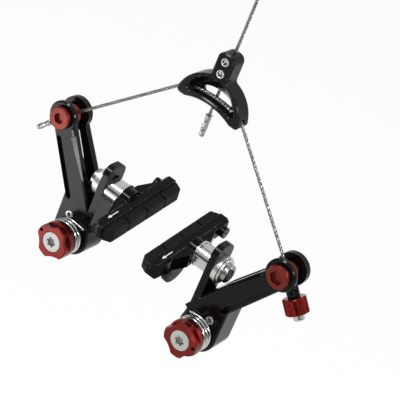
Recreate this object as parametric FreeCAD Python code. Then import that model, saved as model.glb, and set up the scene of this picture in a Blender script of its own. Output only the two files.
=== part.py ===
import FreeCAD, Part
import math
import os

from FreeCAD import Vector

# A cantilever brake for one wheel: two arms that swing on the fork's studs, their pads,
# and the straddle cable that a hanger on the main cable pulls up.
# Millimetres. X runs across the wheel, -Y to the front, +Z up. The origin lies midway
# between the two studs, on the plane where the brake seats against the fork.
os.makedirs("parts", exist_ok=True)

# Fits and clearances
RUN_CLEAR = 0.05
PRESS_CLEAR = 0.02
FACE_CLEAR = 0.2
THREAD_CLEAR = 0.05
HOLE_CLEAR = 0.2

# Fork studs and pivots
STUD_SPACING = 80.0
STUD_R = 4.0
STUD_LENGTH = 14.0
STUD_END_GAP = 0.3
SLEEVE_WALL = 1.2
SLEEVE_NOSE = 1.6
FLANGE_R = 8.0
FLANGE_T = 0.8
BUSH_WALL = 1.0

# Mounting bolt
BOLT_R = 3.0
BOLT_HEAD_R = 5.1
BOLT_HEAD_H = 3.7
STAR_R = 2.0
STAR_LOBE_R = 0.62
STAR_DEPTH = 2.4

# Spring adjuster nut and return spring
ADJUSTER_LENGTH = 6.0
ADJUSTER_RIM_R = 9.0
ADJUSTER_RIM_T = 2.4
LOBE_R = 9.0
LOBE_FLAT = 7.2
LOBE_HOLLOW_R = 14.0
LOBE_COUNT = 4
LEFT_LOBE_TURN = 70.0
RIGHT_LOBE_TURN = 277.0
KEY_HOLE_R = 0.9
KEY_HOLE_DEPTH = 3.0
SPRING_GAP = 7.8
SPRING_R = 8.2
SPRING_WIRE_R = 0.7
SPRING_TURNS = 2.6
SPRING_END_GAP = 0.3
SPRING_LEG_IN = 6.4
SPRING_LEG_UP = 7.6
SPRING_HOOK = 2.4
SPRING_BEND_R = 0.8

# Arm
ARM_THICK = 13.2
ARM_LIP = 0.8
BOSS_R = 10.5
ANCHOR_X = 65.4
ANCHOR_Z = 51.5
RING_R = 7.9
RING_RELIEF = 1.5
BEAM_LEAN = 33.5
BEAM_WIDTH = 12.3
BEAM_NECK = 1.7
NECK_END = 31.0
FRONT_TINE = 3.8
SLOT_WIDTH = 6.4
SLOT_LENGTH = 31.0
GROOVE_WIDTH = 2.9
GROOVE_DEPTH = 2.6
GROOVE_RIM = 0.6
GROOVE_TOP = 10.0
GROOVE_END = 38.0
ARM_EDGE = 0.7
BEVEL = 1.9
BEVEL_TOP = 9.6
BEVEL_END = 42.0
TINE_WINDOW_IN = 0.6
TINE_WINDOW_WIDTH = 3.6
TINE_WINDOW_TOP = 9.2
TINE_WINDOW_END = 22.0
ARM_SCREW_OUT = 3.8
ARM_SCREW_UP = 9.2
ARM_SCREW_R = 2.0
ARM_SCREW_RISE = 0.2
ARM_SCREW_DEPTH = 5.0
ARM_SCREW_KEY = 2.2

# Lug and pad hardware
LUG_INNER_X = 31.3
LUG_THICK = 3.6
LUG_HALF = 6.6
LUG_ROUND = 4.8
LUG_TOP = 43.8
POST_Y = -7.5
POST_Z = 31.6
POST_R = 3.0
LUG_SLOT_REACH = 4.0
WASHER_R = 6.1
OUTER_WASHER_R = 7.0
WASHER_STEP = 0.8
DOME_RIM_R = 6.6
DOME_RIM_T = 1.0
SEAT_SPHERE_R = 9.0
SEAT_R = 4.8
OUTER_CUP_T = 2.4
OUTER_DOME_T = 1.0
PAD_NUT_R = 4.6
PAD_NUT_T = 2.8
PAD_NUT_KEY = 5.0

# Pad and holder
PAD_FACE_X = 9.0
PAD_LENGTH = 53.0
PAD_HEIGHT = 6.8
PAD_OUT = 4.9
PAD_SEAT = 2.5
PAD_END_TAPER = 2.0
PAD_NOTCHES = 3
NOTCH_WIDTH = 1.0
NOTCH_DEPTH = 1.1
PAD_TILT = 9.5
PAD_DROP = 1.2
PAD_SIDE_CLEAR = 0.1
HOLDER_LIP = 0.9
HOLDER_BACK = 2.9
HOLDER_STOP = 1.4
HOLDER_NOSE = 3.5
HOLDER_BEVEL = 1.4
HOLDER_CHIN = 2.4
HOLDER_RISE = 3.6
RISE_FOOT = 17.0
RISE_TOP = 8.0
HOLDER_BOSS_R = 5.8
POST_DEPTH = 3.4
TAB_R = 8.6
TAB_THICK = 2.2
TAB_BACK = 11.5
SCREW_BOSS_R = 2.9
SCREW_BOSS_RISE = 2.6
SCREW_INSET = 4.6
PAD_SCREW_R = 1.5
PAD_SCREW_KEY = 1.5

# Cable anchors
BARREL_R = 5.4
JOURNAL_R = 4.0
ANCHOR_HEAD_R = 5.7
ANCHOR_HEAD_H = 2.4
ANCHOR_BOLT_R = 2.5
LEFT_KEY = 5.0
RIGHT_KEY = 6.4
ANCHOR_KEY_DEPTH = 1.9

# Cables and hanger
CABLE_R = 0.8
CABLE_PAIR_GAP = 0.1
SADDLE_R = 50.0
SADDLE_HALF = 15.5
SADDLE_END_R = 3.0
SADDLE_TOP = 102.8
SADDLE_CLEAR = 0.05
SPLICE_GAP = 0.4
TAIL_BEND = 5.0
TAIL_BEND_R = 12.0
HANGER_THICK = 8.0
HANGER_R = 17.8
HANGER_CROWN = 113.9
HANGER_ARCH_R = 29.5
HANGER_ARCH_TOP = 99.9
HANGER_TIP = 97.0
TIP_ROUND = 2.0
WINDOW_R = 13.4
WINDOW_CROWN = 112.3
WINDOW_REAR_R = 16.6
WINDOW_REAR_CROWN = 106.2
WINDOW_FLARE = 6.2
WINDOW_ROUND = 1.6
WINDOW_EDGE = 0.6
CHANNEL_SIDE = 0.2
CHANNEL_RISE = 3.0
EXIT_DROP = 1.0
STEM_HALF = 4.6
STEM_TOP = 126.3
STEM_ROUND = 3.4
STEM_FOOT_ROUND = 2.0
HANGER_EDGE = 0.6
SET_SCREW_R = 2.0
SET_SCREW_KEY = 2.5
SET_SCREW_PROUD = 0.4
SET_SCREW_TOP = 122.4
SET_SCREW_PITCH = 6.1
MAIN_END = 82.4
CRIMP_R = 1.45
CRIMP_LENGTH = 11.2
CRIMP_LIP = 0.6
FERRULE_R = 2.8
FERRULE_START = 157.0
FERRULE_LENGTH = 12.0
FERRULE_ENTRY = 2.0
TAIL_CRIMP_START = 13.0
TAIL_CRIMP_LENGTH = 9.6

# Barrel adjuster on the right anchor
STEM_TUBE_R = 2.9
STEM_TUBE_SEAT = 4.2
STEM_TUBE_END = 17.2
KNOB_START = 12.0
KNOB_LENGTH = 7.8
KNOB_R = 5.6
KNOB_LOBES = 8
KNOB_FLUTE_R = 1.1
KNOB_FLUTE_DEPTH = 0.9
NIPPLE_R = 2.7
NIPPLE_LENGTH = 4.0
NIPPLE_SEAT = 0.9
NIPPLE_ROUND = 1.0

# Places that follow from the sizes above
pivot_x = STUD_SPACING / 2
sleeve_r = STUD_R + SLEEVE_WALL
bush_inner_r = sleeve_r + RUN_CLEAR
bush_outer_r = bush_inner_r + BUSH_WALL
arm_rear = -(FLANGE_T + FACE_CLEAR)
arm_front = arm_rear - ARM_THICK
nut_rear = arm_front - SPRING_GAP
nut_front = nut_rear - ADJUSTER_LENGTH
head_seat = nut_front + BOLT_HEAD_H
sleeve_front = nut_rear - SLEEVE_NOSE
tine_rear = arm_rear + ARM_LIP
slot_front = arm_front + FRONT_TINE
slot_rear = slot_front + SLOT_WIDTH
straddle_y = (slot_front + slot_rear) / 2
arm_screw_x = pivot_x + ARM_SCREW_OUT
arm_screw_end = arm_front + ARM_SCREW_DEPTH
main_y = straddle_y + 2 * CABLE_R + CABLE_PAIR_GAP
lug_outer_x = LUG_INNER_X + LUG_THICK
pad_z = POST_Z - PAD_DROP
lip_x = PAD_FACE_X + PAD_OUT
seat_x = lip_x + PAD_SEAT
back_x = seat_x + PAD_SIDE_CLEAR + HOLDER_BACK
boss_x = back_x + HOLDER_RISE
holder_half = PAD_HEIGHT / 2 + PAD_SIDE_CLEAR + HOLDER_LIP
holder_front = POST_Y - PAD_LENGTH / 2 - PAD_SIDE_CLEAR - HOLDER_STOP
holder_rear = POST_Y + PAD_LENGTH / 2
beam_along = Vector(math.sin(math.radians(BEAM_LEAN)), 0, math.cos(math.radians(BEAM_LEAN)))
beam_across = Vector(math.cos(math.radians(BEAM_LEAN)), 0, -math.sin(math.radians(BEAM_LEAN)))
hanger_front = straddle_y - HANGER_THICK / 2
hanger_rear = straddle_y + HANGER_THICK / 2
saddle_z = SADDLE_TOP - SADDLE_R

# The straddle cable lies on the saddle's shallow arc, rounds the tight arc at its end, and
# leaves that where the straight run to the anchor touches it. Its tail bends at the anchor.
saddle_turn = math.asin(SADDLE_HALF / SADDLE_R)
end_x = SADDLE_HALF - SADDLE_END_R * math.sin(saddle_turn)
end_z = saddle_z + (SADDLE_R - SADDLE_END_R) * math.cos(saddle_turn)
anchor_reach = math.hypot(ANCHOR_X - end_x, ANCHOR_Z - end_z)
leave_angle = math.atan2(ANCHOR_Z - end_z, ANCHOR_X - end_x) + math.acos(SADDLE_END_R / anchor_reach)
leave_x = end_x + SADDLE_END_R * math.cos(leave_angle)
leave_z = end_z + SADDLE_END_R * math.sin(leave_angle)
cable_dir = Vector(ANCHOR_X - leave_x, 0, ANCHOR_Z - leave_z).normalize()
tail_angle = math.atan2(cable_dir.z, cable_dir.x) - math.radians(TAIL_BEND)
tail_dir = Vector(math.cos(tail_angle), 0, math.sin(tail_angle))
anchor_centre = Vector(ANCHOR_X, straddle_y, ANCHOR_Z)

ALONG_X = Vector(1, 0, 0)
ALONG_Y = Vector(0, 1, 0)
ALONG_Z = Vector(0, 0, 1)


def rod(radius, start, direction, length):
    return Part.makeCylinder(radius, length, start, direction)


def rod_y(radius, x, z, y_low, y_high):
    return rod(radius, Vector(x, y_low, z), ALONG_Y, y_high - y_low)


def rod_x(radius, x_low, x_high, y, z):
    return rod(radius, Vector(x_low, y, z), ALONG_X, x_high - x_low)


def rod_z(radius, x, y, z_low, z_high):
    return rod(radius, Vector(x, y, z_low), ALONG_Z, z_high - z_low)


def block(x_low, x_high, y_low, y_high, z_low, z_high):
    corner = Vector(x_low, y_low, z_low)
    return Part.makeBox(x_high - x_low, y_high - y_low, z_high - z_low, corner)


def prism(points, sweep):
    return Part.Face(Part.makePolygon(points + points[:1])).extrude(sweep)


def plate(outline, y_low, y_high):
    """A flat piece with the given (x, z) outline between two depths."""
    return prism([Vector(x, y_low, z) for x, z in outline], Vector(0, y_high - y_low, 0))


def key_socket(across_flats, start, direction, depth):
    """A hexagonal key's hole, sunk from start along direction."""
    corner_r = across_flats / math.sqrt(3)
    side = direction.cross(ALONG_Z if abs(direction.z) < 0.9 else ALONG_X).normalize()
    other = direction.cross(side)
    turns = [math.radians(60 * step) for step in range(6)]
    corners = [start + side * (corner_r * math.cos(a)) + other * (corner_r * math.sin(a)) for a in turns]
    return prism(corners, direction * depth)


def edges_on(shape, test):
    """The shape's edges whose every vertex and middle point pass the test."""
    found = []
    for edge in shape.Edges:
        points = [vertex.Point for vertex in edge.Vertexes]
        points.append(edge.valueAt((edge.FirstParameter + edge.LastParameter) / 2))
        if all(test(point) for point in points):
            found.append(edge)
    return found


def at_depth(y):
    return lambda point: abs(point.y - y) < 1e-4


def upright_at(x, z):
    """Edges that run front to back through one point of the XZ plane."""
    return lambda point: abs(abs(point.x) - x) < 0.02 and abs(point.z - z) < 0.02


def mirrored(shape):
    return shape.mirror(Vector(0, 0, 0), ALONG_X)


def save(name, shape):
    shape.exportStep("parts/%s.step" % name)


def save_pair(name, right_shape):
    save("right_" + name, right_shape)
    save("left_" + name, mirrored(right_shape))


# Pivot sleeve: a flanged tube that slides over the fork's stud and carries the arm.
def pivot_sleeve():
    sleeve = rod_y(sleeve_r, pivot_x, 0, sleeve_front, 0)
    sleeve = sleeve.fuse(rod_y(FLANGE_R, pivot_x, 0, -FLANGE_T, 0))
    sleeve = sleeve.cut(rod_y(STUD_R, pivot_x, 0, -STUD_LENGTH, 0))
    return sleeve.cut(rod_y(BOLT_R + HOLE_CLEAR, pivot_x, 0, sleeve_front, 0))


def pivot_bush():
    bush = rod_y(bush_outer_r, pivot_x, 0, arm_front, arm_rear)
    return bush.cut(rod_y(bush_inner_r, pivot_x, 0, arm_front, arm_rear))


# Mounting bolt: its head sits in the adjuster nut, and its shank ends at the stud.
def mount_bolt():
    head = rod_y(BOLT_HEAD_R, pivot_x, 0, nut_front, head_seat)
    head = head.makeFillet(0.4, edges_on(head, at_depth(nut_front)))
    bolt = head.fuse(rod_y(BOLT_R, pivot_x, 0, head_seat, -STUD_LENGTH - STUD_END_GAP))
    bolt = bolt.cut(rod_y(STAR_R, pivot_x, 0, nut_front, nut_front + STAR_DEPTH))
    for step in range(6):
        turn = math.radians(60 * step)
        x = pivot_x + STAR_R * math.cos(turn)
        z = STAR_R * math.sin(turn)
        bolt = bolt.cut(rod_y(STAR_LOBE_R, x, z, nut_front, nut_front + STAR_DEPTH))
    return bolt


# Return spring of the left arm, from its hooked leg in the arm to its pin in the nut.
leg_reach = math.hypot(SPRING_LEG_IN, SPRING_LEG_UP)
coil_start = math.degrees(math.atan2(SPRING_LEG_UP, SPRING_LEG_IN) + math.acos(SPRING_R / leg_reach))
coil_end = coil_start + 360 * SPRING_TURNS
coil_rear = arm_front - SPRING_WIRE_R - SPRING_END_GAP
coil_front = nut_rear + SPRING_WIRE_R + SPRING_END_GAP
coil_pitch = (coil_rear - coil_front) / SPRING_TURNS
pin_r = math.hypot(SPRING_R - 2 * SPRING_BEND_R, SPRING_BEND_R)


def coil_point(turn_deg, y):
    turn = math.radians(turn_deg)
    return Vector(SPRING_R * math.cos(turn) - pivot_x, y, SPRING_R * math.sin(turn))


def coil_tangent(turn_deg):
    """Direction of the wire towards the front, at one turn angle of the coil."""
    turn = math.radians(turn_deg)
    round_part = Vector(-math.sin(turn), 0, math.cos(turn)) * (2 * math.pi * SPRING_R)
    return (round_part - ALONG_Y * coil_pitch).normalize()


def quarter_bend(corner, arriving, leaving):
    """A quarter circle that turns the wire at a corner from one direction to another."""
    start = corner - arriving * SPRING_BEND_R
    end = corner + leaving * SPRING_BEND_R
    centre = start + leaving * SPRING_BEND_R
    middle = centre + (corner - centre).normalize() * SPRING_BEND_R
    return start, end, Part.Arc(start, middle, end).toShape()


def left_return_spring():
    coil = Part.makeHelix(coil_pitch, coil_rear - coil_front, SPRING_R)
    coil.rotate(Vector(0, 0, 0), ALONG_X, 90)
    coil.rotate(Vector(0, 0, 0), -ALONG_Y, coil_start)
    coil.translate(Vector(-pivot_x, coil_rear, 0))
    rear = coil_point(coil_start, coil_rear)
    front = coil_point(coil_end, coil_front)
    leg_dir = coil_tangent(coil_start)
    pin_dir = coil_tangent(coil_end)
    hook_dir = (ALONG_Y - leg_dir * ALONG_Y.dot(leg_dir)).normalize()
    inward = (Vector(-pivot_x, coil_front, 0) - front).normalize()
    leg_length = math.sqrt(leg_reach ** 2 - SPRING_R ** 2)
    hook_end, leg_end, hook_bend = quarter_bend(rear - leg_dir * leg_length, -hook_dir, leg_dir)
    turn_start, turn_end, turn_bend = quarter_bend(front + pin_dir * SPRING_BEND_R, pin_dir, inward)
    pin_start, tip_start, pin_bend = quarter_bend(turn_end + inward * SPRING_BEND_R, inward, -ALONG_Y)
    hook_tip = hook_end + hook_dir * SPRING_HOOK
    hook = Part.LineSegment(hook_tip, hook_end).toShape()
    leg = Part.LineSegment(leg_end, rear).toShape()
    pin = Part.LineSegment(tip_start, tip_start - ALONG_Y * SPRING_HOOK).toShape()
    wires = [hook, hook_bend, leg] + list(coil.Edges) + [turn_bend, pin_bend, pin]
    path = Part.Wire(wires)
    section = Part.Wire(Part.makeCircle(SPRING_WIRE_R, hook_tip, -hook_dir))
    spring = path.makePipeShell([section], True, False)
    print("spring volume %.2f of %.2f" % (spring.Volume, math.pi * SPRING_WIRE_R ** 2 * path.Length))
    return spring


# Spring adjuster: a lobed nut with a round rim, bored for the bolt's head and the sleeve's nose.
# The spring's pin runs in a ring groove in its rear face.
def spring_adjuster(side, lobe_turn):
    x = side * pivot_x
    rim_front = nut_rear - ADJUSTER_RIM_T
    knob = rod_y(LOBE_R, x, 0, nut_front, rim_front)
    knob = knob.makeFillet(0.6, edges_on(knob, at_depth(nut_front)))
    for step in range(LOBE_COUNT):
        turn = math.radians(lobe_turn + 360 * (step + 0.5) / LOBE_COUNT)
        reach = LOBE_FLAT + LOBE_HOLLOW_R
        hollow_x = x + reach * math.cos(turn)
        hollow_z = reach * math.sin(turn)
        knob = knob.cut(rod_y(LOBE_HOLLOW_R, hollow_x, hollow_z, nut_front, rim_front))
    rim = rod_y(ADJUSTER_RIM_R, x, 0, rim_front, nut_rear)
    rim = rim.makeFillet(0.5, edges_on(rim, at_depth(rim_front)))
    nut = knob.fuse(rim)
    nut = nut.cut(rod_y(BOLT_HEAD_R + HOLE_CLEAR, x, 0, nut_front, head_seat))
    nut = nut.cut(rod_y(sleeve_r + RUN_CLEAR, x, 0, sleeve_front, nut_rear))
    nut = nut.cut(rod_y(BOLT_R + HOLE_CLEAR, x, 0, nut_front, nut_rear))
    key_turn = math.radians(lobe_turn + 360 / LOBE_COUNT)
    key_r = LOBE_R - 1.5 * KEY_HOLE_R
    key_x = x + key_r * math.cos(key_turn)
    key_z = key_r * math.sin(key_turn)
    nut = nut.cut(rod_y(KEY_HOLE_R, key_x, key_z, nut_front, nut_front + KEY_HOLE_DEPTH))
    pin_room = SPRING_WIRE_R + HOLE_CLEAR
    pin_floor = coil_front - SPRING_BEND_R - SPRING_HOOK - HOLE_CLEAR
    groove = rod_y(pin_r + pin_room, x, 0, pin_floor, nut_rear)
    return nut.cut(groove.cut(rod_y(pin_r - pin_room, x, 0, pin_floor, nut_rear)))


# Arm: one forging with the pivot's boss, a leaning beam split into two tines, and the pad's lug.
def beam_point(down, out, y=0.0):
    """A point by its distance down the beam from the anchor and out from the beam's middle."""
    base = Vector(ANCHOR_X, y, ANCHOR_Z)
    return base - beam_along * down + beam_across * out


def beam_shape(corners, y_low, y_high):
    points = [beam_point(down, out, y_low) for down, out in corners]
    return prism(points, Vector(0, y_high - y_low, 0))


def beam_plate(top, bottom, inner, outer, y_low, y_high):
    return beam_shape([(top, inner), (top, outer), (bottom, outer), (bottom, inner)], y_low, y_high)


def beam_slot(top, bottom, inner, width, y_low, y_high):
    """A lengthwise slot with round ends, by the middles of its ends and its inner side."""
    slot = beam_plate(top, bottom, inner, inner + width, y_low, y_high)
    for down in (top, bottom):
        end = beam_point(down, inner + width / 2)
        slot = slot.fuse(rod_y(width / 2, end.x, end.z, y_low, y_high))
    return slot


def neck_edge(down):
    """Where the narrowed beam's inner edge lies, at a distance down from the anchor."""
    return BEAM_NECK * (1 - down / NECK_END) - BEAM_WIDTH / 2


def beam_edge_z(x, out):
    """Height at which the beam's edge, at a given distance from its middle, crosses x."""
    down = (ANCHOR_X + beam_across.x * out - x) / beam_along.x
    return beam_point(down, out).z


def arm():
    half = BEAM_WIDTH / 2
    beam_length = ANCHOR_Z / beam_along.z - BOSS_R / 2
    outer_x = pivot_x + BOSS_R
    outer_z = beam_edge_z(outer_x, half)
    crotch_z = beam_edge_z(lug_outer_x, -half)
    foot = [(pivot_x - BOSS_R, 0), (outer_x, 0), (outer_x, outer_z), (lug_outer_x, crotch_z),
            (LUG_INNER_X, crotch_z), (LUG_INNER_X, BOSS_R)]
    shank = plate(foot, arm_front, tine_rear)
    beam = [(0, neck_edge(0)), (0, half), (beam_length, half), (beam_length, -half), (NECK_END, -half)]
    shank = shank.fuse(beam_shape(beam, arm_front, tine_rear))
    shank = shank.fuse(rod_y(RING_R, ANCHOR_X, ANCHOR_Z, arm_front, tine_rear))
    shank = shank.fuse(rod_y(BOSS_R, pivot_x, 0, arm_front, tine_rear)).removeSplitter()
    rims = edges_on(shank, at_depth(arm_front)) + edges_on(shank, at_depth(tine_rear))
    shank = shank.makeChamfer(ARM_EDGE, rims)
    bevel_edge = neck_edge(BEVEL_TOP)
    bevel = [beam_point(BEVEL_TOP, bevel_edge, arm_front),
             beam_point(BEVEL_TOP, bevel_edge + BEVEL, arm_front),
             beam_point(BEVEL_TOP, bevel_edge, arm_front + BEVEL)]
    edge_run = beam_point(BEVEL_END, neck_edge(BEVEL_END)) - beam_point(BEVEL_TOP, bevel_edge)
    run_out = (beam_across + ALONG_Y) * (BEVEL / 2)
    shank = shank.cut(prism(bevel, edge_run - run_out))
    lug = block(LUG_INNER_X, lug_outer_x, POST_Y - LUG_HALF, POST_Y + LUG_HALF, 0, LUG_TOP)
    lug_sides = edges_on(lug, lambda point: abs(point.y - POST_Y) > LUG_HALF - 1e-4)
    lug = lug.makeFillet(LUG_ROUND, [edge for edge in lug_sides if edge.CenterOfMass.z > LUG_TOP - 1e-4])
    body = shank.fuse(lug)
    slot_side = RING_R + 2 * ARM_EDGE
    slot = beam_plate(-slot_side, SLOT_LENGTH, -slot_side, slot_side, slot_front, slot_rear)
    slot_foot = beam_point(SLOT_LENGTH, -slot_side, straddle_y)
    body = body.cut(slot).cut(rod(SLOT_WIDTH / 2, slot_foot, beam_across, 2 * slot_side))
    relief_r = RING_R + HOLE_CLEAR
    body = body.cut(rod_y(relief_r, ANCHOR_X, ANCHOR_Z, slot_front - RING_RELIEF, slot_front))
    body = body.cut(beam_slot(TINE_WINDOW_TOP, TINE_WINDOW_END, -TINE_WINDOW_IN, TINE_WINDOW_WIDTH,
                              slot_rear, tine_rear))
    body = body.cut(rod_y(bush_outer_r + PRESS_CLEAR, pivot_x, 0, arm_front, arm_rear))
    body = body.cut(rod_y(FLANGE_R + HOLE_CLEAR, pivot_x, 0, arm_rear, tine_rear))
    body = body.cut(rod_y(BARREL_R + RUN_CLEAR, ANCHOR_X, ANCHOR_Z, arm_front, slot_rear))
    body = body.cut(rod_y(JOURNAL_R + RUN_CLEAR, ANCHOR_X, ANCHOR_Z, slot_rear, tine_rear))
    for z in (POST_Z - LUG_SLOT_REACH, POST_Z + LUG_SLOT_REACH):
        body = body.cut(rod_x(POST_R + HOLE_CLEAR, LUG_INNER_X, lug_outer_x, POST_Y, z))
    slot_half = POST_R + HOLE_CLEAR
    body = body.cut(block(LUG_INNER_X, lug_outer_x, POST_Y - slot_half, POST_Y + slot_half,
                          POST_Z - LUG_SLOT_REACH, POST_Z + LUG_SLOT_REACH))
    body = body.cut(beam_slot(GROOVE_TOP, GROOVE_END, half - GROOVE_RIM - GROOVE_WIDTH, GROOVE_WIDTH,
                              arm_front, arm_front + GROOVE_DEPTH))
    body = body.cut(rod_y(ARM_SCREW_R + THREAD_CLEAR, arm_screw_x, ARM_SCREW_UP, arm_front, arm_screw_end))
    hook_r = SPRING_WIRE_R + HOLE_CLEAR
    hook_floor = arm_front + SPRING_HOOK + SPRING_BEND_R
    return body.cut(rod_y(hook_r, pivot_x - SPRING_LEG_IN, SPRING_LEG_UP, arm_front, hook_floor))


# Set screw in the arm's front, beside the spring.
def arm_screw():
    front = arm_front - ARM_SCREW_RISE
    screw = rod_y(ARM_SCREW_R, arm_screw_x, ARM_SCREW_UP, front, arm_screw_end)
    screw = screw.makeFillet(0.3, edges_on(screw, at_depth(front)))
    socket_start = Vector(arm_screw_x, front, ARM_SCREW_UP)
    return screw.cut(key_socket(ARM_SCREW_KEY, socket_start, ALONG_Y, ARM_SCREW_DEPTH / 2))


# Cable anchor: a barrel that turns in the tines, and the bolt that pinches the cable in it.
def anchor_barrel(tube_seat_r):
    barrel = rod_y(BARREL_R, ANCHOR_X, ANCHOR_Z, arm_front, slot_rear - FACE_CLEAR)
    barrel = barrel.fuse(rod_y(JOURNAL_R, ANCHOR_X, ANCHOR_Z, slot_rear - FACE_CLEAR, tine_rear))
    reach = 2 * BARREL_R
    barrel = barrel.cut(rod(CABLE_R + HOLE_CLEAR, anchor_centre, -cable_dir, reach))
    barrel = barrel.cut(rod(CABLE_R + HOLE_CLEAR, anchor_centre, tail_dir, reach))
    barrel = barrel.cut(Part.makeSphere(CABLE_R + HOLE_CLEAR, anchor_centre))
    barrel = barrel.cut(rod_y(ANCHOR_BOLT_R + THREAD_CLEAR, ANCHOR_X, ANCHOR_Z, arm_front, straddle_y))
    if tube_seat_r:
        seat = anchor_centre + tail_dir * STEM_TUBE_SEAT
        barrel = barrel.cut(rod(tube_seat_r, seat, tail_dir, reach))
    return barrel


def anchor_bolt(key):
    head_front = arm_front - FACE_CLEAR - ANCHOR_HEAD_H
    head_rear = arm_front - FACE_CLEAR
    head = rod_y(ANCHOR_HEAD_R, ANCHOR_X, ANCHOR_Z, head_front, head_rear)
    head = head.makeFillet(0.6, edges_on(head, at_depth(head_front)))
    shank_end = straddle_y - CABLE_R - PRESS_CLEAR
    bolt = head.fuse(rod_y(ANCHOR_BOLT_R, ANCHOR_X, ANCHOR_Z, head_rear, shank_end))
    return bolt.cut(key_socket(key, Vector(ANCHOR_X, head_front, ANCHOR_Z), ALONG_Y, ANCHOR_KEY_DEPTH))


# Pad holder: a channel for the pad, raised to the post's boss, with a stop wall at the front.
def tilted(shape):
    shape.rotate(Vector(0, POST_Y, POST_Z), ALONG_X, PAD_TILT)
    return shape


def screw_place():
    return holder_rear - SCREW_INSET, pad_z


def pad_holder():
    low = pad_z - holder_half
    high = pad_z + holder_half
    section = [(lip_x, low), (back_x - HOLDER_BEVEL, low), (back_x, low + HOLDER_BEVEL),
               (back_x, high - HOLDER_BEVEL), (back_x - HOLDER_BEVEL, high), (lip_x, high)]
    along = Vector(0, holder_rear - holder_front, 0)
    shell = prism([Vector(x, holder_front, z) for x, z in section], along)
    nose = [(back_x, holder_front), (back_x, holder_front + HOLDER_NOSE),
            (back_x - HOLDER_NOSE, holder_front)]
    shell = shell.cut(prism([Vector(x, y, low) for x, y in nose], Vector(0, 0, high - low)))
    chin = [(holder_front, low), (holder_front, low + HOLDER_CHIN), (holder_front + HOLDER_CHIN, low)]
    shell = shell.cut(prism([Vector(lip_x, y, z) for y, z in chin], Vector(back_x - lip_x, 0, 0)))
    inner = PAD_HEIGHT / 2 + PAD_SIDE_CLEAR
    room_front = holder_front + HOLDER_STOP
    room_back = seat_x + PAD_SIDE_CLEAR
    shell = shell.cut(block(lip_x, room_back, room_front, holder_rear, pad_z - inner, pad_z + inner))
    crest = [(back_x - 1, -RISE_FOOT), (back_x, -RISE_FOOT), (boss_x, -RISE_TOP), (boss_x, RISE_TOP),
             (back_x, RISE_FOOT), (back_x - 1, RISE_FOOT)]
    ridge_low = low + HOLDER_LIP
    ridge = prism([Vector(x, POST_Y + y, ridge_low) for x, y in crest], Vector(0, 0, high - ridge_low))
    tab_x = back_x - HOLDER_BACK / 2
    tab_y = POST_Y - TAB_BACK
    tab = rod_x(TAB_R, tab_x, tab_x + TAB_THICK, tab_y, low + 1)
    tab = tab.cut(block(tab_x, tab_x + TAB_THICK, tab_y - TAB_R, tab_y + TAB_R, low + 1, high + TAB_R))
    screw_y, screw_z = screw_place()
    boss = rod_x(SCREW_BOSS_R, back_x - 1, back_x + SCREW_BOSS_RISE, screw_y, screw_z)
    holder = shell.fuse([ridge, tab, boss, rod_x(HOLDER_BOSS_R, back_x - 1, boss_x, POST_Y, POST_Z)])
    holder = holder.cut(rod_x(POST_R + PRESS_CLEAR, boss_x - POST_DEPTH, boss_x, POST_Y, POST_Z))
    screw_end = back_x + SCREW_BOSS_RISE
    holder = holder.cut(rod_x(PAD_SCREW_R + THREAD_CLEAR, room_back, screw_end, screw_y, screw_z))
    return tilted(holder.removeSplitter())


# Rubber pad: tapered ends, and notches across its face and edges.
def brake_pad():
    low = pad_z - PAD_HEIGHT / 2
    front = POST_Y - PAD_LENGTH / 2
    rear = POST_Y + PAD_LENGTH / 2
    outline = [(PAD_FACE_X, front + PAD_END_TAPER), (lip_x - 1, front), (seat_x, front), (seat_x, rear),
               (lip_x - 1, rear), (PAD_FACE_X, rear - PAD_END_TAPER)]
    pad = prism([Vector(x, y, low) for x, y in outline], Vector(0, 0, PAD_HEIGHT))
    face_edges = edges_on(pad, lambda point: abs(point.x - PAD_FACE_X) < 1e-4)
    pad = pad.makeChamfer(0.5, face_edges)
    for step in range(PAD_NOTCHES):
        y = front + PAD_LENGTH * (step + 1) / (PAD_NOTCHES + 1)
        face_cut = block(PAD_FACE_X, PAD_FACE_X + NOTCH_DEPTH, y - NOTCH_WIDTH / 2, y + NOTCH_WIDTH / 2,
                         low, low + PAD_HEIGHT)
        top_cut = block(PAD_FACE_X, lip_x - 1, y - NOTCH_WIDTH / 2, y + NOTCH_WIDTH / 2,
                        low + PAD_HEIGHT - NOTCH_DEPTH, low + PAD_HEIGHT)
        pad = pad.cut(face_cut).cut(top_cut)
    return tilted(pad)


def pad_screw():
    screw_y, screw_z = screw_place()
    head = back_x + SCREW_BOSS_RISE
    screw = rod_x(PAD_SCREW_R, seat_x + PAD_SIDE_CLEAR, head, screw_y, screw_z)
    socket = key_socket(PAD_SCREW_KEY, Vector(head, screw_y, screw_z), -ALONG_X, 1.2)
    return tilted(screw.cut(socket))


# Pad post and its washers: domed and cupped pairs on both sides of the lug, and the nut.
inner_cup_x = boss_x + DOME_RIM_T + FACE_CLEAR
inner_cup_end = LUG_INNER_X
outer_cup_end = lug_outer_x + OUTER_CUP_T
nut_seat_x = outer_cup_end + FACE_CLEAR + OUTER_DOME_T
nut_end_x = nut_seat_x + PAD_NUT_T
washer_hole_r = POST_R + HOLE_CLEAR
cap_drop = SEAT_SPHERE_R - math.sqrt(SEAT_SPHERE_R ** 2 - SEAT_R ** 2)


def ball(radius, x):
    return Part.makeSphere(radius, Vector(x, POST_Y, POST_Z))


def washer(radius, x_low, x_high):
    disc = rod_x(radius, x_low, x_high, POST_Y, POST_Z)
    return disc.cut(rod_x(washer_hole_r, x_low, x_high, POST_Y, POST_Z))


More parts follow.
